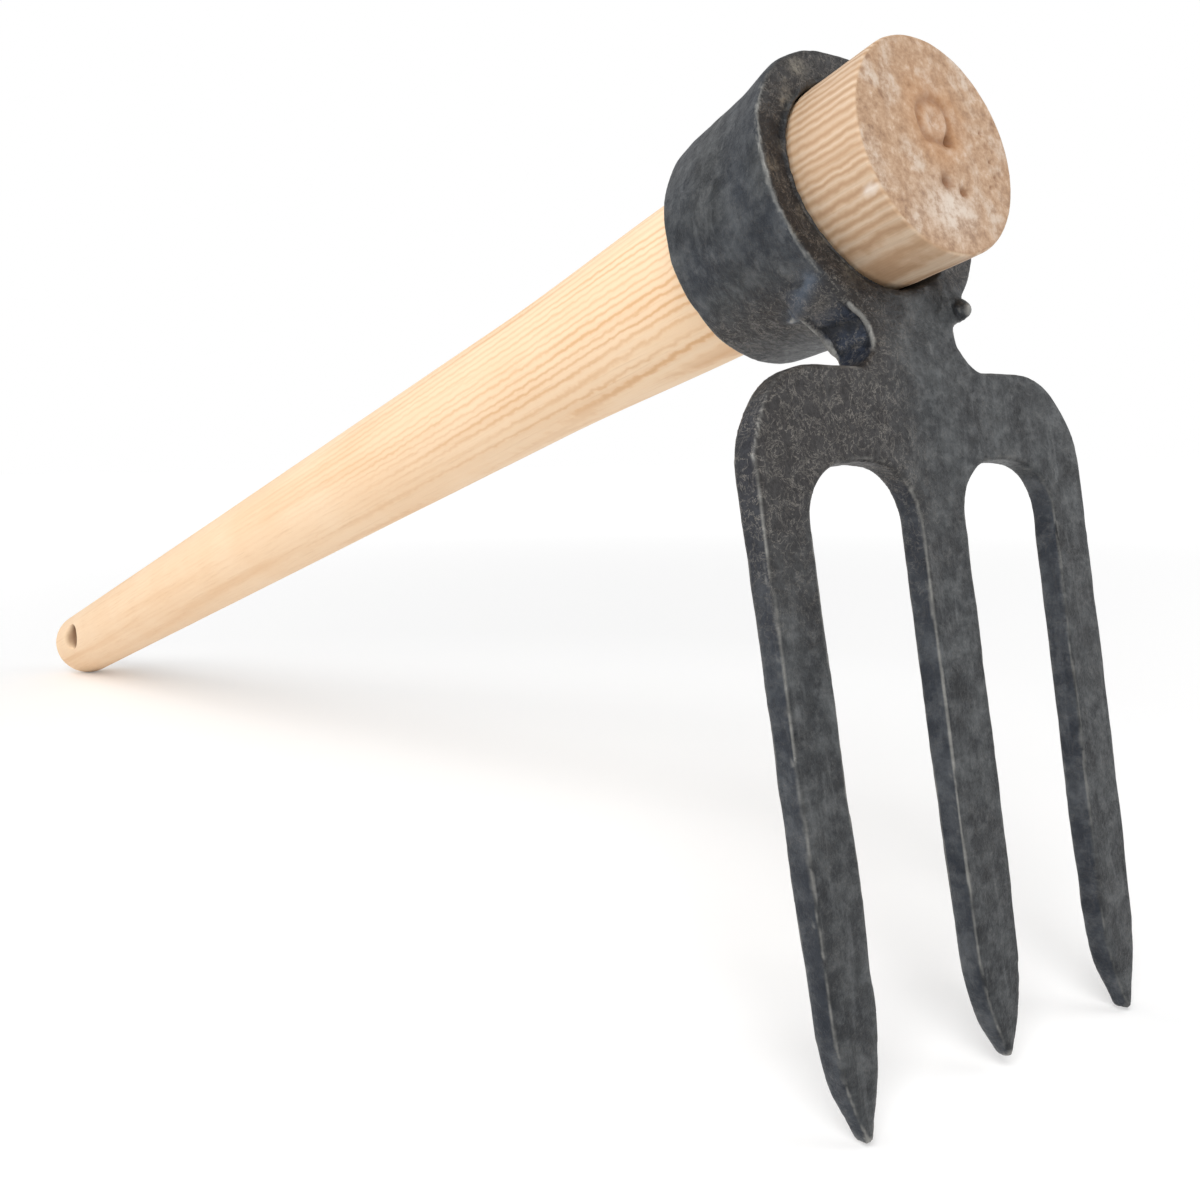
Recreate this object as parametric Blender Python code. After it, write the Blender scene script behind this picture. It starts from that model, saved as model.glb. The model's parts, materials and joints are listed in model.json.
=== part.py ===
# Three-tine fork hoe: a forged steel head with a tapered eye, on a turned ash handle that is
# dropped through the eye from the front and wedges there by its own taper.
#
# Tool frame, in metres: the origin is the centre of the eye's front face, +Y runs back along
# the handle's axis, +X is across the fork and +Z points away from the tines. The tool frame
# hangs on an empty that stands the tool on its two outer tine tips and on the handle's butt.

import math

import bmesh
import bpy
import numpy as np
from mathutils import Matrix, Vector

# Handle
HANDLE_LENGTH = 0.7895
STUB = 0.0205  # how far the handle's head stands out of the eye
HEAD_HALF_WIDTH = 0.0289  # the oval end of the handle's head, half its X and half its Z
HEAD_HALF_HEIGHT = 0.0280
EYE_HALF_WIDTH = 0.0290  # the handle where it enters the eye
EYE_HALF_HEIGHT = 0.0274
WAIST_RADIUS = 0.0247  # where the handle leaves the back of the eye
SHAFT_RADIUS = 0.0226
SWELLING_LENGTH = 0.110  # behind the eye, over which the handle's swelling runs out
BUTT_RADIUS = 0.0219
BUTT_ROUNDING = 0.011
HEAD_EDGE = 0.0012
HANG_HOLE_RADIUS = 0.0070
HANG_HOLE_SINK = 0.0100  # radius of the countersink at the surface
HANG_HOLE_INSET = 0.050  # from the butt's end to the hole's centre
HANG_HOLE_OVERRUN = 0.011  # how far the hole's cut runs past the handle's sides

# Eye and collar of the head
FIT_GAP = 0.0003
EYE_OVERRUN = 0.004  # how far the eye's cut runs past the collar's faces
COLLAR_DEPTH = 0.0455
COLLAR_FRONT_HALF_WIDTH = 0.0393
COLLAR_FRONT_HALF_HEIGHT = 0.0360
COLLAR_FACE_LEAN = math.radians(4.0)  # the eye's front face leans back at the top
COLLAR_SQUARENESS = 2.25  # exponent of the front outline: 2 is an ellipse, more is squarer
COLLAR_BACK_WALL = 0.0083
COLLAR_EDGE = 0.0010

# Fork
RAKE = math.radians(5.0)  # the tines lean in towards the handle by this much
PLATE_AHEAD = 0.0086  # the fork's front plane meets the handle's axis this far before the eye
SLOT_LENGTH = 0.1497
WEB_HEIGHT = 0.0221  # from the top of the slots to the top of the shoulders
PLATE_THICKNESS = 0.0070
PLATE_EDGE = 0.0007
OUTER_TINE_AT_TIP = 0.0531  # from the middle of the fork to the middle of an outer tine
OUTER_TINE_AT_SLOT = 0.0553
OUTER_TINE_WIDTH = 0.0163
MIDDLE_TINE_AT_TIP = 0.0179
MIDDLE_TINE_AT_SLOT = 0.0189
MIDDLE_TINE_SHORTER = 0.0025
POINT_LENGTH = 0.030
POINT_FLAT = 0.0011  # half the blunt width left at the very tip
SHOULDER_RADIUS = 0.0240
SLOT_CORNER = 0.0140
SLOT_CROWN = 0.0004  # the middle of a slot's top stands this much above its corners

# Neck, between the fork's shoulders and the collar
NECK_HALF_WIDTH = 0.0175
NECK_HEIGHT = 0.0156  # from the top of the shoulders to the underside of the collar
NECK_INTO_COLLAR = 0.0104
NECK_FILLET = 0.0080
NECK_FLARE = 0.0100  # how much each side widens from the waist to the collar
NECK_FLARE_HEIGHT = 0.0140
NECK_THICKNESS = 0.0165
NECK_SWEEP = 0.0060  # how far the neck's front sweeps back on its way to the eye
NECK_SWEEP_POWER = 1.5  # more keeps the sweep nearer the top
NECK_CORNER = 0.0022
NECK_FULL_AT = 0.62  # share of the neck's height where it reaches its full thickness
NECK_RINGS = 21

SEGMENTS = 72
HANG_HOLE_SEGMENTS = 40
ARC_STEPS = 10

SHOULDER_HEIGHT = SLOT_LENGTH + WEB_HEIGHT
# From the outer tips to the handle's axis, along the fork.
REACH = SHOULDER_HEIGHT + NECK_HEIGHT + COLLAR_FRONT_HALF_HEIGHT


def clear_scene():
    for obj in list(bpy.data.objects):
        bpy.data.objects.remove(obj, do_unlink=True)


def collection(name):
    made = bpy.data.collections.new(name)
    bpy.context.scene.collection.children.link(made)
    return made


def material(name, rgb, roughness, metallic):
    mat = bpy.data.materials.new(name)
    mat.use_nodes = True
    shader = mat.node_tree.nodes["Principled BSDF"]
    shader.inputs["Base Color"].default_value = (*rgb, 1.0)
    shader.inputs["Roughness"].default_value = roughness
    shader.inputs["Metallic"].default_value = metallic
    mat.diffuse_color = (*rgb, 1.0)
    return mat


def add_object(name, mesh, group, parent):
    obj = bpy.data.objects.new(name, mesh)
    group.objects.link(obj)
    obj.parent = parent
    return obj


def loft(name, rings, group, parent):
    """Closed body through rings of points, one loop of edges for each, bridged and capped."""
    bm = bmesh.new()
    loops = []
    for ring in rings:
        verts = [bm.verts.new(point) for point in ring]
        count = len(verts)
        loops.append([bm.edges.new((verts[i], verts[(i + 1) % count])) for i in range(count)])
    for first, second in zip(loops, loops[1:]):
        bmesh.ops.bridge_loops(bm, edges=first + second)
    bmesh.ops.contextual_create(bm, geom=loops[0])
    bmesh.ops.contextual_create(bm, geom=loops[-1])
    bmesh.ops.recalc_face_normals(bm, faces=bm.faces)
    mesh = bpy.data.meshes.new(name)
    bm.to_mesh(mesh)
    bm.free()
    return add_object(name, mesh, group, parent)


def oval(y, half_width, half_height):
    """Ring of points square to the handle's axis."""
    turn = np.linspace(0.0, 2.0 * math.pi, SEGMENTS, endpoint=False)
    return [(half_width * math.cos(a), y, half_height * math.sin(a)) for a in turn]


def arc(centre, radius, start, end, steps=ARC_STEPS):
    """Points on an arc, with its angles in degrees from +X towards +Y of the outline."""
    turn = np.radians(np.linspace(start, end, steps + 1))
    return [(centre[0] + radius * math.cos(a), centre[1] + radius * math.sin(a)) for a in turn]


def ease(share):
    return share * share * (3.0 - 2.0 * share)


def handle_half_sizes(y):
    """Half width and half height of the handle at y: a straight taper inside the eye, a swelling
    that runs out behind it, then a straight taper to the butt."""
    if y <= COLLAR_DEPTH:
        share = y / COLLAR_DEPTH
        return (
            EYE_HALF_WIDTH + (WAIST_RADIUS - EYE_HALF_WIDTH) * share,
            EYE_HALF_HEIGHT + (WAIST_RADIUS - EYE_HALF_HEIGHT) * share,
        )
    behind = y - COLLAR_DEPTH
    butt = HANDLE_LENGTH - STUB
    taper = (butt - y) / (butt - COLLAR_DEPTH)
    straight = BUTT_RADIUS + (SHAFT_RADIUS - BUTT_RADIUS) * taper
    swelling = (WAIST_RADIUS - SHAFT_RADIUS) * (1.0 - ease(min(1.0, behind / SWELLING_LENGTH)))
    return straight + swelling, straight + swelling


def build_handle(group, cutters, frame):
    butt = HANDLE_LENGTH - STUB
    rings = [
        oval(-STUB, HEAD_HALF_WIDTH - HEAD_EDGE, HEAD_HALF_HEIGHT - HEAD_EDGE),
        oval(-STUB + HEAD_EDGE, HEAD_HALF_WIDTH, HEAD_HALF_HEIGHT),
    ]
    stations = [0.0, COLLAR_DEPTH]
    stations += [COLLAR_DEPTH + SWELLING_LENGTH * (i + 1) / 6 for i in range(6)]
    stations += [butt - BUTT_ROUNDING]
    rings += [oval(y, *handle_half_sizes(y)) for y in stations]
    for i in range(1, 7):
        turn = math.radians(90.0 * i / 6)
        radius = BUTT_RADIUS - BUTT_ROUNDING * (1.0 - math.cos(turn))
        rings.append(oval(butt - BUTT_ROUNDING * (1.0 - math.sin(turn)), radius, radius))
    handle = loft("ash_handle", rings, group, frame)

    # The hanging hole is bored across the butt and countersunk on both sides.
    side = handle_half_sizes(butt - HANG_HOLE_INSET)[0]
    half_bore = side - (HANG_HOLE_SINK - HANG_HOLE_RADIUS)
    half_cut = side + HANG_HOLE_OVERRUN
    mouth = HANG_HOLE_SINK + HANG_HOLE_OVERRUN
    profile = [
        (-half_cut, mouth),
        (-half_bore, HANG_HOLE_RADIUS),
        (half_bore, HANG_HOLE_RADIUS),
        (half_cut, mouth),
    ]
    turn = np.linspace(0.0, 2.0 * math.pi, HANG_HOLE_SEGMENTS, endpoint=False)
    rings = [
        [(x, butt - HANG_HOLE_INSET + r * math.cos(a), r * math.sin(a)) for a in turn]
        for x, r in profile
    ]
    hole = loft("hang_hole_cutter", rings, cutters, frame)
    boolean(handle, hole, "DIFFERENCE")
    return handle


def on_fork(across, height, behind=0.0):
    """Point of the fork in the tool frame, from its place across and up from the outer tips'
    line, and how far it lies behind the fork's front plane."""
    up = height - REACH
    return Vector(
        (
            across,
            -PLATE_AHEAD - up * math.sin(RAKE) + behind * math.cos(RAKE),
            up * math.cos(RAKE) + behind * math.sin(RAKE),
        )
    )


def point_sides(centre, half_width, tip, outward):
    """One tine's point, an ogive from one straight side, over the blunt tip, to the other."""
    drop = half_width - POINT_FLAT
    radius = (POINT_LENGTH**2 + drop**2) / (2.0 * drop)
    heights = [POINT_LENGTH * (1.0 - i / ARC_STEPS) for i in range(ARC_STEPS + 1)]
    halves = []
    for height in heights:
        sunk = radius - math.sqrt(radius**2 - (POINT_LENGTH - height) ** 2)
        halves.append((half_width - sunk, tip + height))
    first = [(centre + outward * half, height) for half, height in halves]
    second = [(centre - outward * half, height) for half, height in reversed(halves)]
    return first + second


def fork_outline():
    """Right half of the fork's outline, from the top of the web down to the middle tip."""
    outer = OUTER_TINE_AT_SLOT + OUTER_TINE_WIDTH / 2
    inner = OUTER_TINE_AT_SLOT - OUTER_TINE_WIDTH / 2
    middle = MIDDLE_TINE_AT_SLOT / 2
    corner = SLOT_LENGTH - SLOT_CROWN - SLOT_CORNER
    points = arc((outer - SHOULDER_RADIUS, SHOULDER_HEIGHT - SHOULDER_RADIUS), SHOULDER_RADIUS, 90, 0)
    points += point_sides(OUTER_TINE_AT_TIP, OUTER_TINE_WIDTH / 2, 0.0, 1)
    points += arc((inner - SLOT_CORNER, corner), SLOT_CORNER, 0, 90)
    points.append(((inner + middle) / 2, SLOT_LENGTH))
    points += arc((middle + SLOT_CORNER, corner), SLOT_CORNER, 90, 180)
    tip = point_sides(0.0, MIDDLE_TINE_AT_TIP / 2, MIDDLE_TINE_SHORTER, 1)
    return points + tip[: len(tip) // 2]


def build_fork_plate(group, frame):
    half = fork_outline()
    outline = half + [(-x, y) for x, y in reversed(half)]
    curve = bpy.data.curves.new("fork_outline", "CURVE")
    curve.dimensions = "2D"
    curve.fill_mode = "BOTH"
    curve.extrude = PLATE_THICKNESS / 2 - PLATE_EDGE
    curve.bevel_depth = PLATE_EDGE
    curve.bevel_resolution = 1
    curve.offset = -PLATE_EDGE
    spline = curve.splines.new("POLY")
    spline.points.add(len(outline) - 1)
    for point, (x, y) in zip(spline.points, outline):
        point.co = (x, y, 0.0, 1.0)
    spline.use_cyclic_u = True
    flat = add_object("fork_outline", curve, group, None)
    graph = bpy.context.evaluated_depsgraph_get()
    mesh = bpy.data.meshes.new_from_object(flat.evaluated_get(graph))
    bpy.data.objects.remove(flat, do_unlink=True)

    origin = on_fork(0.0, 0.0, PLATE_THICKNESS / 2)
    side = Vector((1.0, 0.0, 0.0))
    up = on_fork(0.0, 1.0) - on_fork(0.0, 0.0)
    ahead = side.cross(up)
    place = Matrix((side, up, ahead)).transposed().to_4x4()
    place.translation = origin
    bm = bmesh.new()
    bm.from_mesh(mesh)
    bmesh.ops.remove_doubles(bm, verts=bm.verts, dist=0.00001)
    bmesh.ops.transform(bm, matrix=place, verts=bm.verts)
    bmesh.ops.recalc_face_normals(bm, faces=bm.faces)
    bm.to_mesh(mesh)
    bm.free()
    mesh.name = "forged_head"
    return add_object("forged_head", mesh, group, frame)


def build_collar(cutters, frame):
    """The tapered band round the eye, with broken edges front and back."""
    back_half = WAIST_RADIUS + COLLAR_BACK_WALL
    rings = [collar_ring(0.0, COLLAR_FRONT_HALF_WIDTH, COLLAR_FRONT_HALF_HEIGHT, COLLAR_EDGE)]
    for i in range(9):
        share = i / 8
        width = COLLAR_FRONT_HALF_WIDTH + (back_half - COLLAR_FRONT_HALF_WIDTH) * share
        height = COLLAR_FRONT_HALF_HEIGHT + (back_half - COLLAR_FRONT_HALF_HEIGHT) * share
        y = COLLAR_EDGE + (COLLAR_DEPTH - 2 * COLLAR_EDGE) * share
        rings.append(collar_ring(y, width, height))
    rings.append(collar_ring(COLLAR_DEPTH, back_half, back_half, COLLAR_EDGE))
    return loft("collar_body", rings, cutters, frame)


def collar_ring(y, half_width, half_height, inset=0.0):
    """Ring of the collar: squarer and leaning back towards the front, round and upright at
    the back."""
    ahead = 1.0 - y / COLLAR_DEPTH
    power = 2.0 / (2.0 + (COLLAR_SQUARENESS - 2.0) * ahead)
    lean = math.tan(COLLAR_FACE_LEAN) * ahead
    ring = []
    for x, _, z in oval(y, 1.0, 1.0):
        px = math.copysign(abs(x) ** power, x) * (half_width - inset)
        pz = math.copysign(abs(z) ** power, z) * (half_height - inset)
        ring.append((px, y + pz * lean, pz))
    return ring


def build_neck(cutters, frame):
    """The neck: from the web, in through a waist and out again into the underside of the collar.
    Its front sweeps back from the fork's plane to the eye's face, and it thickens upwards."""
    bottom = SHOULDER_HEIGHT - NECK_FILLET
    waist = SHOULDER_HEIGHT + NECK_FILLET
    top = SHOULDER_HEIGHT + NECK_HEIGHT + NECK_INTO_COLLAR
    flare_start = top - NECK_FLARE_HEIGHT
    rings = []
    for i in range(NECK_RINGS):
        share = i / (NECK_RINGS - 1)
        height = bottom + (top - bottom) * share
        into_web = min(1.0, max(0.0, (waist - height) / NECK_FILLET))
        into_collar = max(0.0, (height - flare_start) / NECK_FLARE_HEIGHT)
        half = NECK_HALF_WIDTH
        half += NECK_FILLET * (1.0 - math.sqrt(1.0 - into_web**2))
        half += NECK_FLARE * math.sin(into_collar * math.pi / 2)
        above_web = max(0.0, (height - SHOULDER_HEIGHT) / (top - SHOULDER_HEIGHT))
        front = PLATE_EDGE / 2 + NECK_SWEEP * above_web**NECK_SWEEP_POWER
        thick = PLATE_THICKNESS - PLATE_EDGE
        thick += (NECK_THICKNESS - thick) * ease(min(1.0, share / NECK_FULL_AT))
        rings.append(neck_ring(height, half, front, thick))
    return loft("neck_body", rings, cutters, frame)


def neck_ring(height, half_width, front, thick):
    """A rounded rectangle across the neck."""
    side = half_width - NECK_CORNER
    near = front + NECK_CORNER
    far = front + thick - NECK_CORNER
    ring = []
    for x, behind, start in ((side, near, -90), (side, far, 0), (-side, far, 90), (-side, near, 180)):
        for px, pb in arc((x, behind), NECK_CORNER, start, start + 90, 4):
            ring.append(on_fork(px, height, pb))
    return ring


def build_eye_cutter(cutters, frame):
    """The tapered hole of the eye: the handle's own taper plus the fit gap, run past both faces."""
    rings = []
    for y in (-EYE_OVERRUN, 0.0, COLLAR_DEPTH, COLLAR_DEPTH + EYE_OVERRUN):
        width, height = handle_half_sizes(min(max(y, 0.0), COLLAR_DEPTH))
        rings.append(oval(y, width + FIT_GAP, height + FIT_GAP))
    return loft("eye_cutter", rings, cutters, frame)


def boolean(obj, other, operation):
    modifier = obj.modifiers.new(other.name, "BOOLEAN")
    modifier.object = other
    modifier.operation = operation
    modifier.solver = "EXACT"


def build_head(group, cutters, frame):
    head = build_fork_plate(group, frame)
    boolean(head, build_neck(cutters, frame), "UNION")
    boolean(head, build_collar(cutters, frame), "UNION")
    boolean(head, build_eye_cutter(cutters, frame), "DIFFERENCE")
    return head


def rest_slope():
    """Angle by which the handle falls towards its butt when the tines' tips and the rounded
    butt touch one floor: the tangent from the tip to the butt's rounding."""
    tip = on_fork(0.0, 0.0, PLATE_THICKNESS - PLATE_EDGE)
    round_y = HANDLE_LENGTH - STUB - BUTT_ROUNDING
    round_z = -(BUTT_RADIUS - BUTT_ROUNDING)
    run = round_y - tip.y
    rise = round_z - tip.z
    return math.atan2(rise, run) - math.asin(BUTT_ROUNDING / math.hypot(run, rise))


def world_points(objects):
    bpy.context.view_layer.update()
    graph = bpy.context.evaluated_depsgraph_get()
    clouds = []
    for obj in objects:
        shown = obj.evaluated_get(graph)
        mesh = shown.to_mesh()
        clouds += [shown.matrix_world @ vert.co for vert in mesh.vertices]
        shown.to_mesh_clear()
    return np.array(clouds)


def stand_on_floor(frame, objects):
    """Tilts the tool to its resting slope and centres its footprint on the origin."""
    frame.rotation_euler = (-rest_slope(), 0.0, 0.0)
    points = world_points(objects)
    low, high = points.min(axis=0), points.max(axis=0)
    frame.location = (-(low[0] + high[0]) / 2, -(low[1] + high[1]) / 2, -low[2])
    bpy.context.view_layer.update()


def finish(obj, mat):
    obj.data.materials.clear()
    obj.data.materials.append(mat)
    obj.data.shade_smooth()
    obj.data.set_sharp_from_angle(angle=math.radians(30.0))


def main():
    clear_scene()
    parts = collection("fork_hoe")
    cutters = collection("cutters")
    frame = bpy.data.objects.new("tool_frame", None)
    parts.objects.link(frame)

    handle = build_handle(parts, cutters, frame)
    head = build_head(parts, cutters, frame)
    for helper in cutters.objects:
        helper.hide_render = True
        helper.display_type = "WIRE"
    finish(handle, material("ash_wood", (0.80, 0.60, 0.40), 0.55, 0.0))
    finish(head, material("forged_steel", (0.09, 0.095, 0.105), 0.5, 0.9))
    stand_on_floor(frame, [handle, head])


main()
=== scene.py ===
import json
import math

import bmesh
import bpy
import numpy as np
from mathutils import Matrix, Vector


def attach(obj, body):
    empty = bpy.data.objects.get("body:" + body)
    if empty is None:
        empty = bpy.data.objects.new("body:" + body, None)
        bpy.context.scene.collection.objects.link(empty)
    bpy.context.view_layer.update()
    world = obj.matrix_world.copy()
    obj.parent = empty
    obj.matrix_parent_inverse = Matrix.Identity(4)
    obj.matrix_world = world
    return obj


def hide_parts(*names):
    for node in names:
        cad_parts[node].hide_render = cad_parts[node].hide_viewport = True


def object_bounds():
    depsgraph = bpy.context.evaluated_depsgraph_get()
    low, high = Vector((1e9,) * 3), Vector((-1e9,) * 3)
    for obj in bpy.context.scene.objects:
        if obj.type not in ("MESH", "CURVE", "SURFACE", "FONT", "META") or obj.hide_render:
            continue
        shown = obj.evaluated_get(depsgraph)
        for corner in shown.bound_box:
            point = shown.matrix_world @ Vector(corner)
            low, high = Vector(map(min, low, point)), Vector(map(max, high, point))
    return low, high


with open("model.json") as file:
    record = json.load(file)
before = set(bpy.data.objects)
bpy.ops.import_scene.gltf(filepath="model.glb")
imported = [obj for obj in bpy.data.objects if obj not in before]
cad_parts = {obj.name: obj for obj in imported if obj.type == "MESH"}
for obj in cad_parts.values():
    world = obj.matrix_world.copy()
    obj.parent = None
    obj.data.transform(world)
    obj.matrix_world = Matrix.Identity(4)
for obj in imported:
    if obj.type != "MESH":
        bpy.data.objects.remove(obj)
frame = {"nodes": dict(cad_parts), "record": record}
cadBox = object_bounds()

# A fork hoe lying on its two outer tine points and the butt of its handle. Both pieces are made in
# the tool's own frame: x across the fork, y back along the handle from the eye's front face, z away
# from the tines, all in metres. The record's two flat faces say where that frame stands.
mounts = {mount["name"]: mount for mount in frame["record"]["mounts"]}
handleStub = 0.0205
backWay = -np.array(mounts["handle_front_end"]["axis"], float)
sideWay = np.array([1.0, 0.0, 0.0])
toolAxes = np.array([sideWay, backWay, np.cross(sideWay, backWay)])
toolOrigin = np.array(mounts["handle_front_end"]["pos_m"], float) + handleStub * backWay


def toWorld(points):
    return points @ toolAxes + toolOrigin


def toTool(points):
    return (points - toolOrigin) @ toolAxes.T


def linearColour(code):
    # sRGB hex to linear: the usual curve, a straight toe and a power of 2.4 above it
    parts = [int(code[i:i + 2], 16) / 255 for i in (1, 3, 5)]
    return [c / 12.92 if c <= 0.04045 else ((c + 0.055) / 1.055) ** 2.4 for c in parts] + [1.0]


def smoothStep(low, high, values):
    # 0 below low, 1 above high, and 3t^2 - 2t^3 between
    share = np.clip((values - low) / (high - low), 0.0, 1.0)
    return share * share * (3.0 - 2.0 * share)


def latticeNoise(points, cell, seed):
    # random numbers from -1 to 1 on the corners of a cubic lattice of that cell, blended smoothly
    scaled = points / np.asarray(cell)
    base = np.floor(scaled).astype(np.int64)
    part = scaled - base
    part = part * part * (3.0 - 2.0 * part)
    total = np.zeros(len(points))
    for corner in np.ndindex(2, 2, 2):
        at = base + np.array(corner)
        key = at[:, 0] * 73856093 ^ at[:, 1] * 19349663 ^ at[:, 2] * 83492791 ^ (seed * 7919)
        key = ((key ^ (key >> 13)) * 1274126177) & 0x7FFFFFFF
        key = ((key ^ (key >> 11)) * 668265263) & 0x7FFFFFFF
        weight = np.prod(np.where(corner, part, 1.0 - part), axis=1)
        total += weight * (key % 65537) / 65536.0
    return 2.0 * total - 1.0


def gridMesh(name, rings, startPole=None, endPole=None):
    # rings is an array (ring, turn, xyz) that closes round the turn; a pole closes each end
    count, turns = rings.shape[:2]
    verts = rings.reshape(-1, 3)
    i, j = np.meshgrid(np.arange(count - 1), np.arange(turns), indexing="ij")
    k = (j + 1) % turns
    quads = np.stack([i * turns + j, (i + 1) * turns + j, (i + 1) * turns + k, i * turns + k], axis=-1)
    faces = quads.reshape(-1, 4).tolist()
    turn = np.arange(turns)
    following = (turn + 1) % turns
    for pole, first in ((startPole, 0), (endPole, (count - 1) * turns)):
        if pole is None:
            continue
        tip = np.full(turns, len(verts))
        order = [tip, first + turn, first + following] if first == 0 else [tip, first + following, first + turn]
        verts = np.vstack([verts, pole])
        faces += np.stack(order, axis=-1).tolist()
    mesh = bpy.data.meshes.new(name)
    mesh.from_pydata(verts.tolist(), [], faces)
    return mesh


def outward(mesh):
    # merged and turned so that every face looks outwards
    bm = bmesh.new()
    bm.from_mesh(mesh)
    bmesh.ops.remove_doubles(bm, verts=bm.verts, dist=0.000002)
    bmesh.ops.recalc_face_normals(bm, faces=bm.faces)
    bm.to_mesh(mesh)
    bm.free()
    return mesh


def addObject(name, mesh):
    obj = bpy.data.objects.new(name, mesh)
    bpy.context.scene.collection.objects.link(obj)
    return obj


def applied(obj):
    # the object's mesh with its modifiers worked in, and the object itself gone
    graph = bpy.context.evaluated_depsgraph_get()
    mesh = bpy.data.meshes.new_from_object(obj.evaluated_get(graph))
    bpy.data.objects.remove(obj, do_unlink=True)
    return mesh


def vertexPlaces(mesh):
    flat = np.empty(len(mesh.vertices) * 3)
    mesh.vertices.foreach_get("co", flat)
    return flat.reshape(-1, 3)


def vertexNormals(mesh):
    flat = np.empty(len(mesh.vertices) * 3)
    mesh.vertex_normals.foreach_get("vector", flat)
    return flat.reshape(-1, 3)


def placeVertices(mesh, points):
    mesh.vertices.foreach_set("co", points.astype(np.float32).ravel())
    mesh.update()


def storeValue(mesh, name, values):
    kind = "FLOAT" if values.ndim == 1 else "FLOAT_VECTOR"
    layer = mesh.attributes.new(name, kind, "POINT")
    layer.data.foreach_set("value" if values.ndim == 1 else "vector", values.astype(np.float32).ravel())


def insideCad(points):
    # nothing stands out of the CAD box
    low, high = (np.array(corner) for corner in cadBox)
    return np.clip(points, low, high)


def addNode(tree, kind, links=None, **settings):
    node = tree.nodes.new(kind)
    for name, value in settings.items():
        setattr(node, name, value)
    for socket, value in (links or {}).items():
        if isinstance(value, bpy.types.NodeSocket):
            tree.links.new(value, node.inputs[socket])
        else:
            node.inputs[socket].default_value = value
    return node


def rampOf(tree, factor, stops):
    node = addNode(tree, "ShaderNodeValToRGB", {"Fac": factor})
    elements = node.color_ramp.elements
    while len(elements) < len(stops):
        elements.new(0.5)
    for element, (place, code) in zip(elements, stops):
        element.position = place
        element.color = linearColour(code)
    return node.outputs["Color"]


def mixOf(tree, factor, first, second, blend="MIX"):
    node = addNode(tree, "ShaderNodeMix", {0: factor, 6: first, 7: second}, data_type="RGBA", blend_type=blend)
    return node.outputs[2]


def spread(tree, value, low, high, start=0.0, end=1.0):
    links = {"Value": value, "From Min": low, "From Max": high, "To Min": start, "To Max": end}
    return addNode(tree, "ShaderNodeMapRange", links).outputs["Result"]


def times(tree, first, second):
    return addNode(tree, "ShaderNodeMath", {0: first, 1: second}, operation="MULTIPLY").outputs[0]


def attributeOf(tree, name, output="Fac"):
    return addNode(tree, "ShaderNodeAttribute", attribute_name=name).outputs[output]


def newMaterial(name):
    mat = bpy.data.materials.new(name)
    mat.use_nodes = True
    return mat, mat.node_tree, mat.node_tree.nodes["Principled BSDF"]


# Ash handle: a turned oval head that swells at the eye, then a nearly straight shaft
handle = {
    "length": 0.7895,
    "headHalfWidth": 0.0289,
    "headHalfHeight": 0.0280,
    "eyeHalfWidth": 0.0290,
    "eyeHalfHeight": 0.0274,
    "waistRadius": 0.0247,
    "shaftRadius": 0.0226,
    "buttRadius": 0.0219,
    "eyeDepth": 0.0455,
    "swellingLength": 0.110,
    "buttRounding": 0.011,
    "headEdge": 0.0011,
    "holeRadius": 0.0070,
    "holeSink": 0.0112,
    "holeStretch": 1.5,  # the hole's mouths are worn long by a cord
    "holeInset": 0.050,
    "turns": 176,
}


def handleHalfSizes(y):
    # a straight taper up to the eye's back, a swelling that runs out behind it, then a straight taper
    ahead = smoothStep(-handleStub, 0.0, y)
    width = handle["headHalfWidth"] + (handle["eyeHalfWidth"] - handle["headHalfWidth"]) * ahead
    height = handle["headHalfHeight"] + (handle["eyeHalfHeight"] - handle["headHalfHeight"]) * ahead
    inEye = np.clip(y / handle["eyeDepth"], 0.0, 1.0)
    width = width + (handle["waistRadius"] - handle["eyeHalfWidth"]) * inEye
    height = height + (handle["waistRadius"] - handle["eyeHalfHeight"]) * inEye
    butt = handle["length"] - handleStub
    taper = (butt - y) / (butt - handle["eyeDepth"])
    straight = handle["buttRadius"] + (handle["shaftRadius"] - handle["buttRadius"]) * taper
    behind = smoothStep(0.0, handle["swellingLength"], y - handle["eyeDepth"])
    shaft = straight + (handle["waistRadius"] - handle["shaftRadius"]) * (1.0 - behind)
    inside = y <= handle["eyeDepth"]
    return np.where(inside, width, shaft), np.where(inside, height, shaft)


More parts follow.
